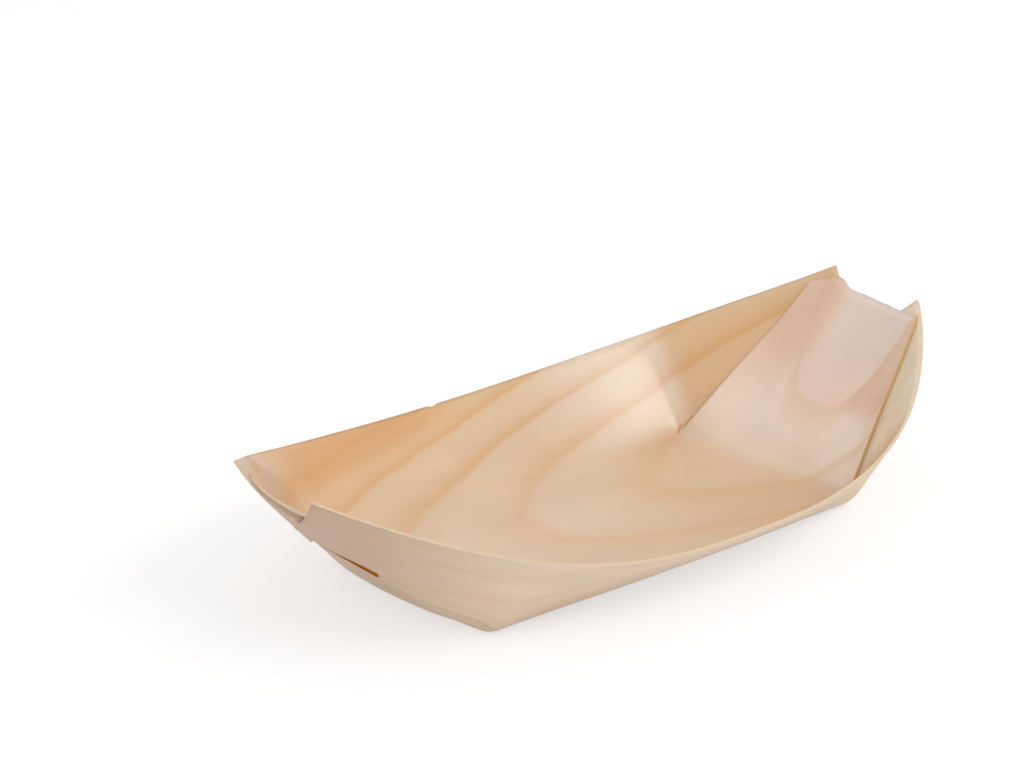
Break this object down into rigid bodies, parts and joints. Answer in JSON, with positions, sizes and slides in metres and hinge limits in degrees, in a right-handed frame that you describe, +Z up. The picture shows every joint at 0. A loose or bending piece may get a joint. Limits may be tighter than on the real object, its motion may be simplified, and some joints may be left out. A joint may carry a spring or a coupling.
{
  "type": "wooden boat dish",
  "caption": "Boat-shaped serving dish folded from thin wood veneer: flat floor, flared long sides, and raised ends where side strips wrap round an upturned middle tab.",
  "frame": {"origin": "on the table, under the middle of the dish's floor", "axes": "+Z up, +X along the boat towards its right-hand end, +Y towards the far long side"},
  "size_m": [0.1402, 0.0792, 0.0303],
  "materials": {
    "veneer": "bare rotary-cut veneer, satin",
    "glue": "dried clear cream adhesive"
  },
  "bodies": {
    "root": {"veneer_sheet": "veneer", "glue_dab_left_inner": "glue", "glue_dab_left_outer": "glue", "glue_dab_right_inner": "glue", "glue_dab_right_outer": "glue"}
  },
  "joints": []
}
